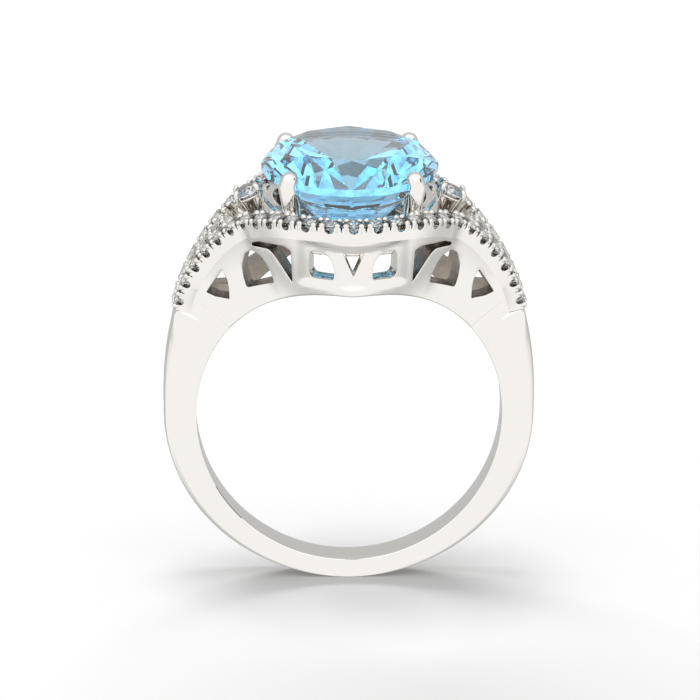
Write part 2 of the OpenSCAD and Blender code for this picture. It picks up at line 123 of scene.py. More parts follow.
class Rail:
    """The back rail's own axes, sampled along it and looked up by running length."""

    def __init__(self, steps=400):
        ts = np.linspace(-1, 1, 2 * steps + 1)
        self.t = ts
        self.edge = np.array([edge(t) for t in ts])
        self.along = np.array([unit(edge(min(t + 0.005, 1)) - edge(max(t - 0.005, -1))) for t in ts])
        self.up = np.array([unit([-d[2] * np.sign(d[0]), 0, abs(d[0])]) for d in self.along])
        inward = np.cross(self.up, self.along)
        self.inward = inward * np.where(inward[:, 1:2] > 0, -1, 1)
        self.share = 1 - 0.24 * np.clip((abs(ts) - 0.72) / 0.28, 0, None) ** 2
        middle = self.edge + self.inward * (RAIL_W / 2 * self.share)[:, None]
        run = np.concatenate([[0], np.cumsum(np.linalg.norm(np.diff(middle, axis=0), axis=1))])
        self.run = run - run[steps]
        self.half = self.run[-1]

    def look(self, table, s):
        return np.stack([np.interp(s, self.run, table[:, k]) for k in range(3)], axis=-1)

    def place(self, p):
        """Points given as running length, share across and height, in ring coordinates."""
        p = np.asarray(p, float)
        s = np.clip(p[:, 0], -self.half, self.half)
        share = np.interp(s, self.run, self.share)
        return (self.look(self.edge, s) + self.look(self.inward, s) * (p[:, 1] * share)[:, None]
                + self.look(self.up, s) * p[:, 2:3] + self.look(self.along, s) * (p[:, 0] - s)[:, None])


rail = Rail()
PITCH = 2 * rail.half / STONES
under = rail.place(np.stack([rail.run, 0 * rail.run, 0 * rail.run - RAIL_T], axis=1))
under_angle = np.degrees(np.arctan2(under[:, 0], under[:, 2]))
under_r = np.hypot(under[:, 0], under[:, 2])


def wall_top(a):
    """Radius and half width of the rail's outer lower edge at an angle from the top."""
    return np.interp(a, under_angle, under_r), np.interp(a, under_angle, under[:, 1])


# ---- mesh helpers --------------------------------------------------------------------------------
FRONT = np.array([1, -1, 1])
LEFT = np.array([-1, 1, 1])


def flipped(verts, faces, by):
    """A mirrored copy of a mesh, faces still pointing out."""
    return np.asarray(verts) * by, [tuple(reversed(f)) for f in faces]


def joined(parts):
    """Several (verts, faces) meshes as one."""
    verts, faces, base = [], [], 0
    for v, f in parts:
        verts.append(np.asarray(v, float))
        faces += [tuple(i + base for i in g) for g in f]
        base += len(v)
    return np.concatenate(verts), faces


def loft(rings, closed=False, caps=True):
    """Quads between rings that all have the same number of points."""
    m, n = len(rings), len(rings[0])
    verts = np.concatenate([np.asarray(r, float) for r in rings])
    faces = []
    for i in range(m if closed else m - 1):
        a, b = i * n, ((i + 1) % m) * n
        faces += [(a + j, a + (j + 1) % n, b + (j + 1) % n, b + j) for j in range(n)]
    if caps and not closed:
        faces += [tuple(reversed(range(n))), tuple(range((m - 1) * n, m * n))]
    return verts, faces


def rounded(points, r, steps=4):
    """A closed outline with each corner turned into a short curve that reaches r along its sides."""
    points = np.asarray(points, float)
    out = []
    for i, p in enumerate(points):
        a, b = points[i - 1] - p, points[(i + 1) % len(points)] - p
        la, lb = np.linalg.norm(a), np.linalg.norm(b)
        s, e = p + a * min(r / la, 0.45), p + b * min(r / lb, 0.45)
        for k in range(steps + 1):
            t = k / steps
            out.append((1 - t) ** 2 * s + 2 * t * (1 - t) * p + t * t * e)
    return np.array(out)


def densified(points, gap):
    """A closed outline with extra points, so that none are further apart than gap."""
    out = []
    for a, b in zip(points, np.roll(points, -1, axis=0)):
        n = max(1, math.ceil(np.linalg.norm(b - a) / gap))
        out += [a + (b - a) * k / n for k in range(n)]
    return np.array(out)


def tube(path, radii, sides, dome):
    """A round rod along a path that doesn't run along Y, with a domed end of so many rings at each end."""
    path, radii = np.asarray(path, float), np.asarray(radii, float)
    ends = []
    for sign, p, q, r in ((-1, path[0], path[1], radii[0]), (1, path[-1], path[-2], radii[-1])):
        d = unit(p - q)
        ends.append([(p + d * r * math.sin(a), r * math.cos(a))
                     for a in np.linspace(0, math.radians(87), dome + 1)[1:]])
    stops = ends[0][::-1] + list(zip(path, radii)) + ends[1]
    centres = np.array([c for c, _ in stops])
    along = np.gradient(centres, axis=0)
    rings = []
    for (c, r), d in zip(stops, along):
        d = unit(d)
        u = unit(np.cross(d, (0, 1, 0)))
        v = np.cross(d, u)
        a = np.linspace(0, 2 * math.pi, sides, endpoint=False)
        rings.append(c + np.outer(np.cos(a) * r, u) + np.outer(np.sin(a) * r, v))
    return loft(rings)


def ring_sweep(rx, ry, z, section, sides=96):
    """A closed oval ring: section is a list of (outwards, up) points round its middle line."""
    rings = []
    for a in np.linspace(0, 2 * math.pi, sides, endpoint=False):
        n = unit([math.cos(a) / rx, math.sin(a) / ry, 0])
        c = np.array([rx * math.cos(a), ry * math.sin(a), z])
        rings.append([c + n * o + np.array([0, 0, u]) for o, u in section])
    return loft(rings, closed=True)


def circle_section(r, n=12):
    return [(r * math.cos(a), r * math.sin(a)) for a in np.linspace(0, 2 * math.pi, n, endpoint=False)]


def turned(points, m):
    """Points moved by a 4x4 matrix."""
    r = np.array(m.to_3x3())
    return np.asarray(points) @ r.T + np.array(m.translation)


def piece(name, mesh, material, nodes, sharp=35.0):
    """A shown piece: it stands for its CAD nodes and rides on the ring's one body."""
    verts, faces = mesh
    data = bpy.data.meshes.new(name)
    data.from_pydata([tuple(v) for v in np.asarray(verts) * MM], [], faces)
    data.validate()
    bm = bmesh.new()
    bm.from_mesh(data)
    bmesh.ops.recalc_face_normals(bm, faces=bm.faces)
    bm.to_mesh(data)
    bm.free()
    if sharp:
        data.shade_smooth()
        data.set_sharp_from_angle(angle=math.radians(sharp))
    else:
        data.shade_flat()
    obj = bpy.data.objects.new(name, data)
    bpy.context.scene.collection.objects.link(obj)
    data.materials.append(material)
    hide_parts(*nodes)
    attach(obj, "root")
    return obj


# ---- materials -----------------------------------------------------------------------------------
def node_material(name):
    material = bpy.data.materials.new(name)
    material.use_nodes = True
    nodes, links = material.node_tree.nodes, material.node_tree.links
    return material, nodes, links, nodes["Principled BSDF"]


def polished_metal(name, colour, rough, grain, depth):
    """Mirror-polished white metal: faint buffing haze in the gloss and hairline bumps along it."""
    material, nodes, links, shader = node_material(name)
    shader.inputs["Base Color"].default_value = (*colour, 1)
    shader.inputs["Metallic"].default_value = 1
    place = nodes.new("ShaderNodeTexCoord")
    haze = nodes.new("ShaderNodeTexNoise")
    haze.inputs["Scale"].default_value = grain
    haze.inputs["Detail"].default_value = 4
    spread = nodes.new("ShaderNodeMapRange")
    spread.inputs["From Min"].default_value = 0.3
    spread.inputs["From Max"].default_value = 0.7
    spread.inputs["To Min"].default_value = rough * 0.7
    spread.inputs["To Max"].default_value = rough * 1.5
    stretch = nodes.new("ShaderNodeMapping")
    stretch.inputs["Scale"].default_value = (1, 6, 1)
    lines = nodes.new("ShaderNodeTexNoise")
    lines.inputs["Scale"].default_value = grain * 6
    bump = nodes.new("ShaderNodeBump")
    bump.inputs["Strength"].default_value = depth
    bump.inputs["Distance"].default_value = 0.000004
    links.new(place.outputs["Object"], haze.inputs["Vector"])
    links.new(haze.outputs["Fac"], spread.inputs["Value"])
    links.new(spread.outputs["Result"], shader.inputs["Roughness"])
    links.new(place.outputs["Object"], stretch.inputs["Vector"])
    links.new(stretch.outputs["Vector"], lines.inputs["Vector"])
    links.new(lines.outputs["Fac"], bump.inputs["Height"])
    links.new(bump.outputs["Normal"], shader.inputs["Normal"])
    return material


def gem(name, colour, ior, absorb=None, density=0.0):
    """A clear faceted stone. Colour deepens with the path through it, and the polish varies very faintly."""
    material, nodes, links, shader = node_material(name)
    shader.inputs["Base Color"].default_value = (*colour, 1)
    shader.inputs["Transmission Weight"].default_value = 1
    shader.inputs["IOR"].default_value = ior
    place = nodes.new("ShaderNodeTexCoord")
    polish = nodes.new("ShaderNodeTexNoise")
    polish.inputs["Scale"].default_value = 900
    spread = nodes.new("ShaderNodeMapRange")
    spread.inputs["To Min"].default_value = 0.0
    spread.inputs["To Max"].default_value = 0.012
    links.new(place.outputs["Object"], polish.inputs["Vector"])
    links.new(polish.outputs["Fac"], spread.inputs["Value"])
    links.new(spread.outputs["Result"], shader.inputs["Roughness"])
    if absorb:
        shader.inputs["Coat Weight"].default_value = 1.0
        shader.inputs["Coat IOR"].default_value = 2.1
        shader.inputs["Coat Roughness"].default_value = 0.01
        volume = nodes.new("ShaderNodeVolumeAbsorption")
        volume.inputs["Color"].default_value = (*absorb, 1)
        volume.inputs["Density"].default_value = density
        links.new(volume.outputs["Volume"], nodes["Material Output"].inputs["Volume"])
    return material


white_metal = polished_metal("white_metal", (0.905, 0.88, 0.84), 0.035, 420, 0.15)
# metal of the beads and small claws: rougher than the white metal, and its darker base colour is painted shade
shaded_bead_metal = polished_metal("shaded_bead_metal", (0.84, 0.81, 0.77), 0.07, 900, 0.3)
# inside metal of the walls: rough and unpolished, and its dark brown base colour is painted shade for the
# gallery's inside
cast_and_shaded_metal = polished_metal("cast_and_shaded_metal", (0.42, 0.37, 0.32), 0.3, 1600, 2.5)
topaz = gem("sky_topaz", (0.8, 0.7, 0.72), 1.62, (0.1, 0.785, 0.985), 165.0)
diamond = gem("diamond", (1, 1, 1), 2.3)


# ---- hoop ----------------------------------------------------------------------------------------
rail_foot = rail.place([(rail.half, 0, -RAIL_T)])[0]
foot_angle = math.degrees(math.atan2(rail_foot[0], rail_foot[2]))
split_r, split_w = (float(v) for v in wall_top(SPLIT))
R_STOPS = [(SPLIT, split_r), (foot_angle, math.hypot(rail_foot[0], rail_foot[2])),
           (PAVE_END - 1.5, hoop_r(PAVE_END) - 0.02), (PAVE_END, hoop_r(PAVE_END))]
W_STOPS = [(SPLIT, split_w), (foot_angle, rail_foot[1] + 0.02), (PAVE_END, 1.12), (75, 1.16),
           (100, BASE_HALF_W - 0.08), (180, BASE_HALF_W - 0.05)]


def by_stops(a, stops):
    return float(np.interp(a, [s[0] for s in stops], [s[1] for s in stops]))


def hoop_ring(a):
    """Cross section of the hoop at an angle from the top: flat sides, a domed strip outside."""
    tuck = 0.03 * min(1, max(0, SPLIT - a) / 0.3)
    w = inner_half_w(a) - tuck
    r = (by_stops(a, R_STOPS) if a < PAVE_END else hoop_r(a)) - tuck
    near = min(1, max(0, a - PAVE_END + 1.5) / 9)
    s = min(1, (180 - a) / 120) * near
    d = 0.03 + (max(0.05, DOME_T * min(1, (180 - a) / 90)) - 0.03) * near
    e = by_stops(a, W_STOPS) - tuck
    c = e - 0.35 * s
    k = e + 0.1 * near * (w - e)
    # the side carries on the shapes of the wall and of the rail above it, and then straightens out
    hollow = 0.07 * float(np.interp(a, [foot_angle, PAVE_END - 1.5, PAVE_END, 72, 88], [0, 1, 1, 0.4, 0]))
    mid = BORE_R + 0.75 * (r - BORE_R)
    mid_w = w + (k - w) * (mid - BORE_R) / (r - d - BORE_R) - hollow
    side = [(BORE_R, w), (mid, mid_w), (r - d, k), (r - 0.15 * d, c + 0.02 * near), (r, 0.4 * c)]
    shape = rounded(side + [(q, -y) for q, y in side[::-1]], 0.09, 3)
    x, z = math.sin(math.radians(a)), math.cos(math.radians(a))
    return np.array([(q[0] * x, q[1], q[0] * z) for q in shape])


def hoop():
    stops = np.unique(np.concatenate([[SPLIT - 1.5, SPLIT - 0.3, foot_angle], np.linspace(SPLIT, PAVE_END, 26),
                                      np.linspace(PAVE_END, 180, 120)]))
    half = [hoop_ring(a) for a in stops]
    return loft(half + [r * LEFT for r in half[-2::-1]])


piece("shank_polished", hoop(), white_metal, ["shank"], 32)


# ---- gallery walls -------------------------------------------------------------------------------
WINDOW_Z, WINDOW_TOP = 9.6, 11.2
WINDOW_MID = (WINDOW_Z + WINDOW_TOP) / 2
ARCH = [(1.1, WINDOW_Z - 0.1), (1.08, WINDOW_MID - 0.3), (1.2, WINDOW_MID + 0.2), (1.45, WINDOW_TOP - 0.25),
        (1.8, WINDOW_TOP - 0.06), (2.3, WINDOW_TOP - 0.06), (2.42, WINDOW_TOP - 0.3),
        (2.42, WINDOW_Z + 0.15), (2.27, WINDOW_Z - 0.14)]
CORNER = [(5.6, 10.81), (5.2, 11.02), (3.84, 11.14), (3.48, 10.95), (3.36, 8.95), (4, 9.9), (4.45, 10.5),
          (4.7, 10.7), (5.6, 10.62)]
SHIELD = [(5.6, 10.3), (5.1, 10.1), (4.8, 9.7), (4.5, 9.1), (4.36, 8.62), (5.85, 7.95), (6.05, 8.6),
          (6.13, 9.2), (5.97, 10)]
WEDGE = [(7.25, 8.73), (8.1, 7.31), (7.6, 7.13), (6.82, 7.08), (6.86, 7.7), (6.95, 8.2)]
VEE = [(-0.6, WINDOW_TOP - 0.08), (0.6, WINDOW_TOP - 0.08), (0, WINDOW_Z + 0.18)]
# outline, the angle it is cut at, how far its corners are rounded, and whether its sides are polished; sides
# that are not take the dark cast metal, whose brown tone is painted shade
WINDOWS = [(ARCH, 11, 0.16, True), (CORNER, 14, 0.1, False),
           (SHIELD, 14, 0.14, False), (WEDGE, 12, 0.06, False)]


def wall_y(x, z):
    """Outer surface of the back wall: ruled from bore edge to rail, with a panel set back in the middle."""
    a, r = math.degrees(math.atan2(x, z)), math.hypot(x, z)
    top_r, top_w = wall_top(a)
    low_w = inner_half_w(a)
    f = np.clip((r - BORE_R) / (top_r - BORE_R), -0.1, 1.1)
    f += 0.75 * ease((SPLIT - abs(a)) / 10) * f * (1 - f)
    lip_z = 11.5 + 0.05 * x * x
    under_rail = ease((z - lip_z + 0.1) / 0.25) * ease((4.3 - abs(x)) / 1.2)
    panel = ease((lip_z - z) / 0.3) * ease((z - 8.95) / 0.38) * ease((3.15 - abs(x)) / 0.55)
    return low_w + (top_w - low_w) * f + 0.05 * under_rail - 0.24 * panel


def wall_back(x, z):
    """Inner surface of the wall, a wall's thickness behind the outer one."""
    h = 0.05
    slope = (wall_y(x + h, z) - wall_y(x - h, z)) / (2 * h)
    y = wall_y(x, z)
    return max(0.2, y - WALL_T * math.sqrt(1 + slope * slope))


def inside(p, outline):
    x, z = p
    hit = False
    for (ax, az), (bx, bz) in zip(outline, np.roll(outline, -1, axis=0)):
        if (az > z) != (bz > z) and x < (bx - ax) * (z - az) / (bz - az) + ax:
            hit = not hit
    return hit


def outwards(outline):
    """Unit directions out of a closed outline, one per point."""
    d = np.roll(outline, -1, axis=0) - np.roll(outline, 1, axis=0)
    n = np.stack([d[:, 1], -d[:, 0]], axis=1)
    n /= np.linalg.norm(n, axis=1, keepdims=True) + 1e-12
    area = np.sum(outline[:, 0] * np.roll(outline[:, 1], -1) - np.roll(outline[:, 0], -1) * outline[:, 1])
    return n if area > 0 else -n


class WallMesh:
    """The wall between an outer and an inner skin, with rounded edges round each opening."""

    def __init__(self):
        self.verts, self.faces, self.inner = [], [], []

    def add(self, pts):
        base = len(self.verts)
        self.verts += [tuple(p) for p in pts]
        return list(range(base, base + len(pts)))

    def strip(self, a, b):
        n = len(a)
        self.faces += [(a[i], a[(i + 1) % n], b[(i + 1) % n], b[i]) for i in range(n)]

    def skin(self, border, holes, surface):
        """Triangles over the border less the holes; border and holes are (outline, vertex ids)."""
        pts, ids, edges = [], [], []
        for outline, index in [border, *holes]:
            base = len(pts)
            pts += [Vector(p) for p in outline]
            ids += index
            edges += [(base + i, base + (i + 1) % len(outline)) for i in range(len(outline))]
        for a in np.arange(-SPLIT + 0.8, SPLIT, 1.15):
            top = wall_top(a)[0]
            for r in np.linspace(BORE_R, top, 22)[1:-1]:
                p = (r * math.sin(math.radians(a)), r * math.cos(math.radians(a)))
                near = min(np.min(np.linalg.norm(o - p, axis=1)) for o, _ in [border, *holes])
                if near > 0.06 and not any(inside(p, o) for o, _ in holes):
                    pts.append(Vector(p))
                    ids.append(None)
        out, _, tris, source, _, _ = delaunay_2d_cdt(pts, edges, [], 0, 1e-7)
        place = []
        for p, src in zip(out, source):
            known = [ids[i] for i in src if ids[i] is not None]
            place.append(known[0] if known else self.add([(p.x, surface(p.x, p.y), p.y)])[0])
        shape = np.array([tuple(p) for p in out])
        for tri in tris:
            c = shape[list(tri)].mean(axis=0)
            if inside(c, border[0]) and not any(inside(c, o) for o, _ in holes):
                self.faces.append(tuple(place[i] for i in tri))
                self.inner += [len(self.faces) - 1] * (surface is wall_back)


def wall():
    mesh = WallMesh()
    arc = np.radians(np.linspace(SPLIT, -SPLIT, 120))
    low = np.stack([BORE_R * np.sin(arc), BORE_R * np.cos(arc)], axis=1)
    top_r = np.array([wall_top(math.degrees(a))[0] for a in arc[::-1]])
    top = np.stack([top_r * np.sin(arc[::-1]), top_r * np.cos(arc[::-1])], axis=1)
    border = np.concatenate([low, top])
    soft = np.concatenate([np.full(len(low), 0.1), np.zeros(len(top))])
    loops = [(border, -outwards(border), soft, 0.0, True)]
    for outline, turn, r, polished in WINDOWS:
        right = densified(rounded(outline, r), 0.14)
        for side in (1, -1):
            shape = right * (side, 1)
            loops.append((shape, outwards(shape), np.full(len(shape), 0.05), side * turn, polished))
    shape = densified(rounded(VEE, 0.05), 0.14)
    loops.append((shape, outwards(shape), np.full(len(shape), 0.05), 0.0, True))
    fronts, backs = [], []
    for outline, away, soft, turn, polished in loops:
        s, c = math.sin(math.radians(turn)), math.cos(math.radians(turn))
        rows, first = [], None
        for k in range(4):
            q = math.radians(30 * k)
            at = outline + away * (soft * (1 - math.sin(q)))[:, None]
            depth = soft * (1 - math.cos(q))
            rows.append(mesh.add([(x - d * s, wall_y(x, z) - d * c, z) for (x, z), d in zip(at, depth)]))
            first = at if first is None else first
        through = []
        for x, z in outline:
            d = WALL_T
            for _ in range(6):
                d = (wall_y(x, z) - wall_back(x - d * s, z)) / c
            through.append((x - d * s, wall_y(x, z) - d * c, z))
        rows.append(mesh.add(through))
        for a, b in zip(rows, rows[1:]):
            mesh.strip(a, b)
        if not polished:
            mesh.inner += range(len(mesh.faces) - len(rows[-1]), len(mesh.faces))
        fronts.append((first, rows[0]))
        backs.append((np.array([(p[0], p[2]) for p in through]), rows[-1]))
    mesh.skin(fronts[0], fronts[1:], wall_y)
    mesh.skin(backs[0], backs[1:], wall_back)
    return (np.array(mesh.verts), mesh.faces), mesh.inner


wall_mesh, wall_inner = wall()
for side, mesh in (("back", wall_mesh), ("front", flipped(*wall_mesh, FRONT))):
    shown = piece(f"{side}_gallery_polished", mesh, white_metal, [f"{side}_gallery_wall"], 40)
    # the back skin and the unpolished window sides take the dark metal: painted shade inside the gallery
    shown.data.materials.append(cast_and_shaded_metal)
    for i in wall_inner:
        shown.data.polygons[i].material_index = 1


# ---- pave rails ----------------------------------------------------------------------------------
CUT_R, CUT_DEPTH, SLIT_HALF, RIB_TOP = 0.235, 0.47, 0.05, -0.12
BEAD_R, BEAD_AT = 0.155, 0.39


def comb_profile():
    """Heights along one stone's cell: slit, rib, U cut, rib, slit."""
    half = PITCH / 2
    slit = [(-half, -CUT_DEPTH + 0.1), (-half + 0.5 * SLIT_HALF, -CUT_DEPTH + 0.13),
            (-half + 0.8 * SLIT_HALF, -CUT_DEPTH + 0.24), (-half + SLIT_HALF, RIB_TOP)]
    cut = [(-CUT_R - 0.004, RIB_TOP)] + [(-CUT_R * math.cos(a), -CUT_DEPTH + CUT_R - CUT_R * math.sin(a))
                                         for a in np.linspace(0, math.pi / 2, 6)]
    left = slit + cut
    return left + [(-s, h) for s, h in left[-2::-1]][:-1]


def lean(s):
    """How far the rail's outer face leans in per unit of height, so that it carries on from the wall."""
    s = abs(s)
    return 0.3 * ease((s - 4.5) / 3.5) - 0.15 * ease((s - 11.5) / 3)


def comb():
    """The rail's metal: a bar with a U cut under each stone and a slit between stones."""
    rings = []
    for i in range(STONES):
        s0 = (i - (STONES - 1) / 2) * PITCH
        for s, h in comb_profile():
            k = lean(s0 + s)
            root = -RAIL_T - 0.3 * ease((abs(s0 + s) - rail.half + 2.4) / 1.2)
            rings.append([(s0 + s, k * (h + RAIL_T), h), (s0 + s, RAIL_W - 0.02, h), (s0 + s, RAIL_W, root),
                          (s0 + s, 0.05, root), (s0 + s, 0, -RAIL_T), (s0 + s, k * 0.43, -CUT_DEPTH - 0.05)])
    return loft([rail.place(r) for r in rings])


def grain_shape(r, low, high):
    """A round post with a domed top, as (out from its axis, height) rings."""
    return [(r, low), (r, high - 0.4 * r), (r * 1.06, high - 0.1 * r), (r * 0.98, high + 0.25 * r),
            (r * 0.75, high + 0.6 * r), (r * 0.4, high + 0.83 * r), (r * 0.05, high + 0.9 * r)]


def grains():
    """Split beads: a pair on each rib, outside and inside."""
    parts = []
    angles = np.linspace(0, 2 * math.pi, 12, endpoint=False)
    for i in range(STONES):
        for side in (-1, 1):
            s = (i - (STONES - 1) / 2) * PITCH + side * BEAD_AT
            for across, r in ((BEAD_R - 0.02 + 0.8 * lean(s), BEAD_R), (RAIL_W - 0.17, BEAD_R * 1.25)):
                rings = [rail.place([(s + q * math.cos(a), across + q * math.sin(a), h) for a in angles])
                         for q, h in grain_shape(r, -CUT_DEPTH + 0.05, -0.02)]
                parts.append(loft(rings))
    return joined(parts)


def brilliant(d, sides=8):
    """Round brilliant of diameter d, girdle at z = 0: (verts, faces)."""
    r = d / 2
    crown, table, star = 0.15 * d, 0.57, 0.79
    step = 2 * math.pi / sides
    star_z = crown * (1 - star * math.cos(step / 2)) / (1 - table) + 0.0
    low, low_z = 0.22, -0.38 * d * (1 - 0.22 * math.cos(step / 2))

    def at(a, q, z):
        return (r * q * math.cos(a), r * q * math.sin(a), z)

    verts = [at(step * k, table, crown) for k in range(sides)]
    verts += [at(step * (k + 0.5), star, star_z) for k in range(sides)]
    verts += [at(step * k / 2, 1, 0.012 * d) for k in range(2 * sides)]
    verts += [at(step * k / 2, 1, -0.012 * d) for k in range(2 * sides)]
    verts += [at(step * (k + 0.5), low, low_z) for k in range(sides)]
    verts += [(0, 0, -0.38 * d)]
    return np.array(verts), gem_faces(sides)


def gem_faces(n):
    """Faces of a brilliant: table, stars, kites, upper, girdle, lower and main facets."""
    star, top, bottom, low, culet = n, 2 * n, 4 * n, 6 * n, 7 * n
    faces = [tuple(range(n))]
    for k in range(n):
        j, h = (k + 1) % n, (k - 1) % n
        faces.append((k, star + k, j))
        faces.append((k, star + h, top + 2 * k, star + k))
        faces.append((star + k, top + 2 * k, top + 2 * k + 1))
        faces.append((star + k, top + 2 * k + 1, top + 2 * j))
        faces.append((low + k, bottom + 2 * k, bottom + 2 * k + 1))
        faces.append((low + k, bottom + 2 * k + 1, bottom + 2 * j))
        faces.append((culet, low + h, bottom + 2 * k, low + k))
    for k in range(2 * n):
        j = (k + 1) % (2 * n)
        faces.append((top + k, top + j, bottom + j, bottom + k))
    return faces


def rail_stones():
    parts = []
    for i in range(STONES):
        s = (i - (STONES - 1) / 2) * PITCH
        share = float(np.interp(s, rail.run, rail.share))
        verts, faces = brilliant(PAVE_D * share)
        c = rail.place([(s, RAIL_W / 2, -0.07)])[0]
        up = rail.look(rail.up, np.array([s]))[0]
        along = rail.look(rail.along, np.array([s]))[0]
        side = np.cross(up, along)
        spin = 0.35 * i
        u = along * math.cos(spin) + side * math.sin(spin)
        v = np.cross(up, u)
        parts.append((c + verts[:, :1] * u + verts[:, 1:2] * v + verts[:, 2:] * up, faces))
    return joined(parts)


comb_mesh, grain_mesh, stone_mesh = comb(), grains(), rail_stones()
for side, by in (("back", np.ones(3)), ("front", FRONT)):
    parts = ((comb_mesh, white_metal, "pave_rail", "pave_rail", "white_metal", 30),
             (grain_mesh, shaded_bead_metal, "rail_beads", "rail_beads", "white_metal", 60),
             (stone_mesh, diamond, "rail_diamonds", "rail_diamonds", "diamond", None))
    for mesh, material, label, node, slot, sharp in parts:
        shape = mesh if side == "back" else flipped(*mesh, by)
        piece(f"{side}_{label}_set", shape, material, [f"{side}_{node}"], sharp)


# ---- shoulders -----------------------------------------------------------------------------------
FILLERS, FILLER_START, FILLER_PITCH, FILLER_MAX_D = 3, 9.45, 1.2, 0.98


def middle(s, h=0.0):
    p = rail.place([(s, 0, h)])[0]
    return np.array([p[0], 0, p[2]])


def gap_half(s):
    return max(0.0, float(rail.place([(s, RAIL_W, 0)])[0][1]) - 0.01)


def filler_d(i):
    return min(FILLER_MAX_D, 1.7 * gap_half(FILLER_START + FILLER_PITCH * i) + 0.2)


def shoulder_axes(s):
    up = rail.look(rail.up, np.array([s]))[0]
    return up, np.array([0, 1.0, 0]), np.cross([0, 1.0, 0], up)


def shoulder_plate():
    rings = []
    for s in np.linspace(PLATE_FROM, PLATE_TO, 24):
        w = max(0.06, gap_half(s) + 0.03)
        rings.append([middle(s, RIB_TOP) + (0, w, 0), middle(s, RIB_TOP), middle(s, RIB_TOP) - (0, w, 0),
                      middle(s, -RAIL_T) - (0, w, 0), middle(s, -RAIL_T) + (0, w, 0)])
    return loft(rings)


def shoulder_stones():
    parts = []
    for i in range(FILLERS):
        s = FILLER_START + FILLER_PITCH * i
        verts, faces = brilliant(filler_d(i))
        up, v, u = shoulder_axes(s)
        parts.append((middle(s, -0.02) + verts[:, :1] * u + verts[:, 1:2] * v + verts[:, 2:] * up, faces))
    return joined(parts)


def shoulder_grains():
    parts = []
    angles = np.linspace(0, 2 * math.pi, 12, endpoint=False)
    for i in range(FILLERS + 1):
        s = FILLER_START + FILLER_PITCH * (i - 0.5)
        up, v, u = shoulder_axes(s)
        for side in (-1, 1):
            c = middle(s) + v * side * min(0.3, 0.75 * gap_half(s))
            parts.append(loft([[c + u * q * math.cos(a) + v * q * math.sin(a) + up * h for a in angles]
                               for q, h in grain_shape(BEAD_R, -0.4, 0.0)]))
    return joined(parts)


# ---- accents -------------------------------------------------------------------------------------
def accent_matrix():
    return Matrix.Translation((ACCENT_X, 0, ACCENT_Z)) @ Matrix.Rotation(math.radians(ACCENT_TILT), 4, "Y")


def accent_head():
    """Open basket: an upper and a lower ring with a turned cup between them."""
    parts = [ring_sweep(0.74, 0.74, -0.3, circle_section(0.1), 40),
             ring_sweep(0.52, 0.52, -1.2, circle_section(0.13), 40)]
    cup = [(0.44, -1.34), (0.6, -1.34), (0.7, -0.8), (0.8, -0.34), (0.72, -0.34), (0.5, -1.0)]
    rings = [[(r * math.cos(a), r * math.sin(a), z) for r, z in cup]
             for a in np.linspace(0, 2 * math.pi, 40, endpoint=False)]
    parts.append(loft(rings, closed=True))
    verts, faces = joined(parts)
    return turned(verts, accent_matrix()), faces


def accent_claws():
    parts = []
    for k in range(4):
        a = math.radians(45 + 90 * k)
        out = np.array([math.cos(a), math.sin(a), 0])
        path = [out * r + (0, 0, z)
                for r, z in ((0.66, -1.15), (0.82, -0.5), (0.93, 0.0), (0.9, 0.18), (0.8, 0.27))]
        parts.append(tube(path, [0.15, 0.16, 0.18, 0.18, 0.15], sides=14, dome=4))
    verts, faces = joined(parts)
    return turned(verts, accent_matrix()), faces


def accent_stone():
    verts, faces = brilliant(ACCENT_D - 0.06)
    return turned(verts + (0, 0, -0.03), accent_matrix()), faces


def bridge():
    """Polished strip that follows the stone's side between the accent and the head."""
    rings = []
    t = BRIDGE_HALF_T
    for a in np.linspace(-BRIDGE_SWEEP, BRIDGE_SWEEP, 40):
        q = math.radians(a)
        n = unit([math.cos(q) / BRIDGE_RX, math.sin(q) / BRIDGE_RY, 0])
        c = np.array([BRIDGE_RX * math.cos(q), BRIDGE_RY * math.sin(q), 0])
        top = BRIDGE_TOP - BRIDGE_DIP * (a / BRIDGE_SWEEP) ** 2
        section = rounded([(-t, BRIDGE_Z), (t, BRIDGE_Z), (t, top), (-t, top)], 0.08, 3)
        rings.append([c + n * o + np.array([0, 0, z]) for o, z in section])
    return loft(rings)


for side, by in (("right", None), ("left", LEFT)):
    for label, mesh, material, slot, node, sharp in (
            ("shoulder_plate_set", shoulder_plate(), white_metal, "white_metal", "shoulder_plate", 35),
            ("shoulder_beads_set", shoulder_grains(), shaded_bead_metal, "white_metal", "shoulder_beads", 60),
            ("shoulder_diamonds_cut", shoulder_stones(), diamond, "diamond", "shoulder_diamonds", None),
            ("accent_basket", accent_head(), white_metal, "white_metal", "accent_head", 40),
            ("accent_claws_set", accent_claws(), shaded_bead_metal, "white_metal", "accent_claws", 60),
            ("accent_diamond_cut", accent_stone(), diamond, "diamond", "accent_diamond", None),
            ("bridge_polished", bridge(), white_metal, "white_metal", "bridge", 35)):
        shape = mesh if by is None else flipped(*mesh, by)
        piece(f"{side}_{label}", shape, material, [f"{side}_{node}"], sharp)


# ---- centre stone and head -----------------------------------------------------------------------
def centre_stone():
    """Oval brilliant with the CAD stone's proportions."""
    n = 8
    crown_z, low_girdle = GIRDLE_Z + GIRDLE_T / 2, GIRDLE_Z - GIRDLE_T / 2
    star, low = 0.83, 0.24
    half = math.cos(math.pi / n)
    star_z = crown_z + CROWN_H * (1 - star * half) / (1 - TABLE)
    low_z = low_girdle - PAVILION_H * (1 - low * half)

    def at(k, q, z):
        a = math.radians(45 * k)
        return (STONE_W / 2 * q * math.cos(a), STONE_L / 2 * q * math.sin(a), z)

    verts = [at(k, TABLE, crown_z + CROWN_H) for k in range(n)]
    verts += [at(k + 0.5, star, star_z) for k in range(n)]
    verts += [at(k / 2, 1, crown_z) for k in range(2 * n)]
    verts += [at(k / 2, 1, low_girdle) for k in range(2 * n)]
    verts += [at(k + 0.5, low, low_z) for k in range(n)]
    verts += [(0, 0, low_girdle - PAVILION_H)]
    return np.array(verts), gem_faces(n)


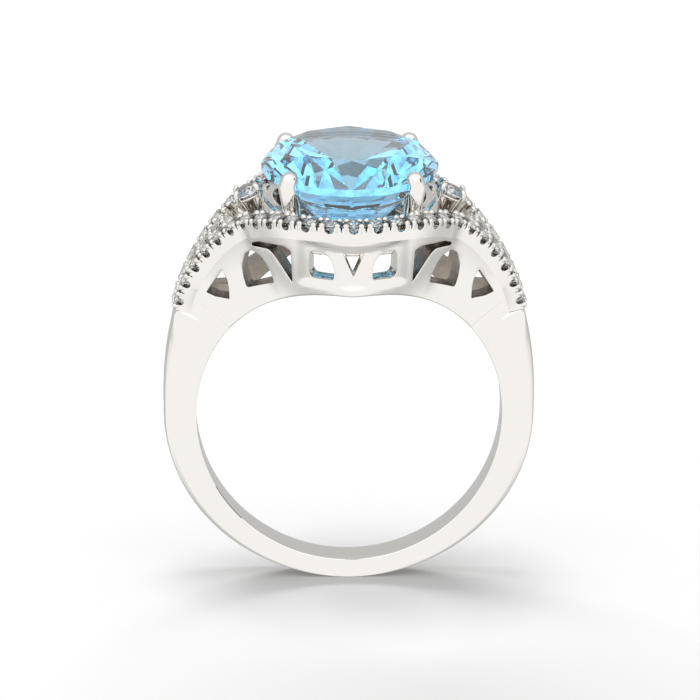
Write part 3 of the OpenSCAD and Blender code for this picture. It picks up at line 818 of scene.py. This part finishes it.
def claw():
    foot, tip = np.array(CLAW_FOOT), np.array(CLAW_TIP)
    out = unit([tip[0], tip[1], 0])
    path = [foot, foot + (tip - foot) * 0.4, foot + (tip - foot) * 0.75, tip + out * 0.02 - (0, 0, 0.2),
            tip - out * 0.12 + (0, 0, 0.1)]
    return tube(path, [0.44, 0.48, 0.54, 0.56, 0.5], sides=28, dome=7)


def claw_oval(z):
    q = (z - CLAW_FOOT[2]) / (CLAW_TIP[2] - CLAW_FOOT[2])
    x, y = (CLAW_FOOT[k] + q * (CLAW_TIP[k] - CLAW_FOOT[k]) for k in (0, 1))
    grow = math.hypot(x / STONE_W, y / STONE_L)
    return STONE_W * grow, STONE_L * grow


def head_rail(z, h, t, out=0.0):
    rx, ry = claw_oval(z + h / 2)
    section = rounded([(-t, 0), (out, 0), (out, h), (-t, h)], 0.12, 3)
    return ring_sweep(rx, ry, z, section)


piece("centre_topaz_cut", centre_stone(), topaz, ["centre_topaz"], None)
piece("head_seat_rail_polished", head_rail(SEAT_Z, SEAT_H, SEAT_T), white_metal,
      ["head_seat_rail"])
piece("head_base_rail_polished", head_rail(BASE_RAIL_Z, BASE_RAIL_H, BASE_RAIL_T, BASE_RAIL_OUT), white_metal,
      ["head_base_rail"])
claw_mesh = claw()
for side, across in (("back_right", np.ones(3)), ("back_left", LEFT), ("front_right", FRONT),
                     ("front_left", LEFT * FRONT)):
    verts, faces = claw_mesh
    if across.prod() < 0:
        faces = [tuple(reversed(f)) for f in faces]
    piece(f"claw_{side}_polished", (verts * across, faces), white_metal, [f"claw_{side}"], 50)


# ---- floor, light and camera ---------------------------------------------------------------------
def stage_floor():
    low = cad_box[0].z
    data = bpy.data.meshes.new("floor")
    w = 0.9
    data.from_pydata([(-w, -w, low), (w, -w, low), (w, w, low), (-w, w, low)], [], [(0, 1, 2, 3)])
    floor = bpy.data.objects.new("floor", data)
    bpy.context.scene.collection.objects.link(floor)
    material, nodes, links, shader = node_material("pale_floor")
    shader.inputs["Base Color"].default_value = (0.6, 0.6, 0.6, 1)
    shader.inputs["Roughness"].default_value = 0.6
    shader.inputs["Specular IOR Level"].default_value = 0.2
    data.materials.append(material)
    floor.visible_glossy = False


def soft_box(name, place, size, power):
    """A rectangular lamp aimed at the ring, which shows in no reflection and through no stone."""
    data = bpy.data.lights.new(name, "AREA")
    data.shape = "RECTANGLE"
    data.size, data.size_y = size
    data.energy = power
    lamp = bpy.data.objects.new(name, data)
    bpy.context.scene.collection.objects.link(lamp)
    lamp.location = place
    lamp.visible_glossy = False
    lamp.visible_transmission = False
    lamp.rotation_mode = "QUATERNION"
    lamp.rotation_quaternion = (-Vector(place)).to_track_quat("-Z", "Y")


def ramp(tree, value, low, high, out_low=0.0, out_high=1.0):
    """Smooth step of a socket's value between low and high."""
    node = tree.nodes.new("ShaderNodeMapRange")
    node.interpolation_type = "SMOOTHSTEP"
    for name, number in zip(("From Min", "From Max", "To Min", "To Max"), (low, high, out_low, out_high)):
        node.inputs[name].default_value = number
    tree.links.new(value, node.inputs["Value"])
    return node.outputs["Result"]


def product(tree, first, *rest):
    for other in rest:
        node = tree.nodes.new("ShaderNodeMath")
        node.operation = "MULTIPLY"
        tree.links.new(first, node.inputs[0])
        tree.links.new(other, node.inputs[1])
        first = node.outputs["Value"]
    return first


def spot(tree, place, direction, edge_cos, soft):
    """Nought towards one direction and one everywhere else."""
    node = tree.nodes.new("ShaderNodeVectorMath")
    node.operation = "DOT_PRODUCT"
    tree.links.new(place.outputs["Generated"], node.inputs[0])
    node.inputs[1].default_value = unit(direction)
    return ramp(tree, node.outputs["Value"], edge_cos + soft, edge_cos, 0.0, 1.0)


def studio():
    """White tent: brightest overhead, grey behind and underneath, with one dark flag high on the right."""
    world = bpy.data.worlds.new("studio")
    bpy.context.scene.world = world
    world.use_nodes = True
    tree = world.node_tree
    place = tree.nodes.new("ShaderNodeTexCoord")
    split = tree.nodes.new("ShaderNodeSeparateXYZ")
    tree.links.new(place.outputs["Generated"], split.inputs["Vector"])
    y, z = split.outputs["Y"], split.outputs["Z"]
    back = ramp(tree, y, -0.15, 0.45, 1.0, 0.56)
    top = ramp(tree, z, 0.3, 0.8, 1.0, 1.25)
    low = ramp(tree, z, -0.42, -0.85, 1.0, 0.62)
    flag = spot(tree, place, (0.9, -0.2, 0.38), 0.985, 0.003)
    lit = product(tree, back, top, low, flag)
    shade = tree.nodes.new("ShaderNodeMath")
    shade.operation = "MAXIMUM"
    tree.links.new(lit, shade.inputs[0])
    shade.inputs[1].default_value = 0.015
    tree.links.new(shade.outputs["Value"], tree.nodes["Background"].inputs["Strength"])
    tree.nodes["Background"].inputs["Color"].default_value = (1, 1, 1, 1)
    soft_box("key", (-0.03, 0.04, 0.42), (0.16, 0.16), 0.85)
    soft_box("back", (-0.05, 0.3, 0.22), (0.3, 0.08), 0.95)


def camera():
    """Straight on to the finger hole, a little above it, through a long lens."""
    elevation, azimuth, roll = math.radians(16), math.radians(-1.8), math.radians(0.29)
    away, scale, image = 0.45, 17613.0, 700
    shift_right, shift_up = 0.00008, 0.00327
    back = Vector((math.sin(azimuth) * math.cos(elevation), -math.cos(azimuth) * math.cos(elevation),
                   math.sin(elevation)))
    right = Vector((math.cos(azimuth), math.sin(azimuth), 0))
    up = back.cross(right)
    right, up = (right * math.cos(roll) + up * math.sin(roll), up * math.cos(roll) - right * math.sin(roll))
    data = bpy.data.cameras.new("camera")
    data.sensor_width = 36
    data.lens = scale * away * data.sensor_width / image
    data.clip_start, data.clip_end = 0.01, 10
    cam = bpy.data.objects.new("camera", data)
    bpy.context.scene.collection.objects.link(cam)
    turn = Matrix((right, up, back)).transposed().to_4x4()
    cam.matrix_world = Matrix.Translation(right * shift_right + up * shift_up + back * away) @ turn
    bpy.context.scene.camera = cam


stage_floor()
studio()
camera()
bpy.context.scene.view_settings.view_transform = "Standard"
bpy.context.scene.view_settings.look = "None"

bpy.context.view_layer.update()
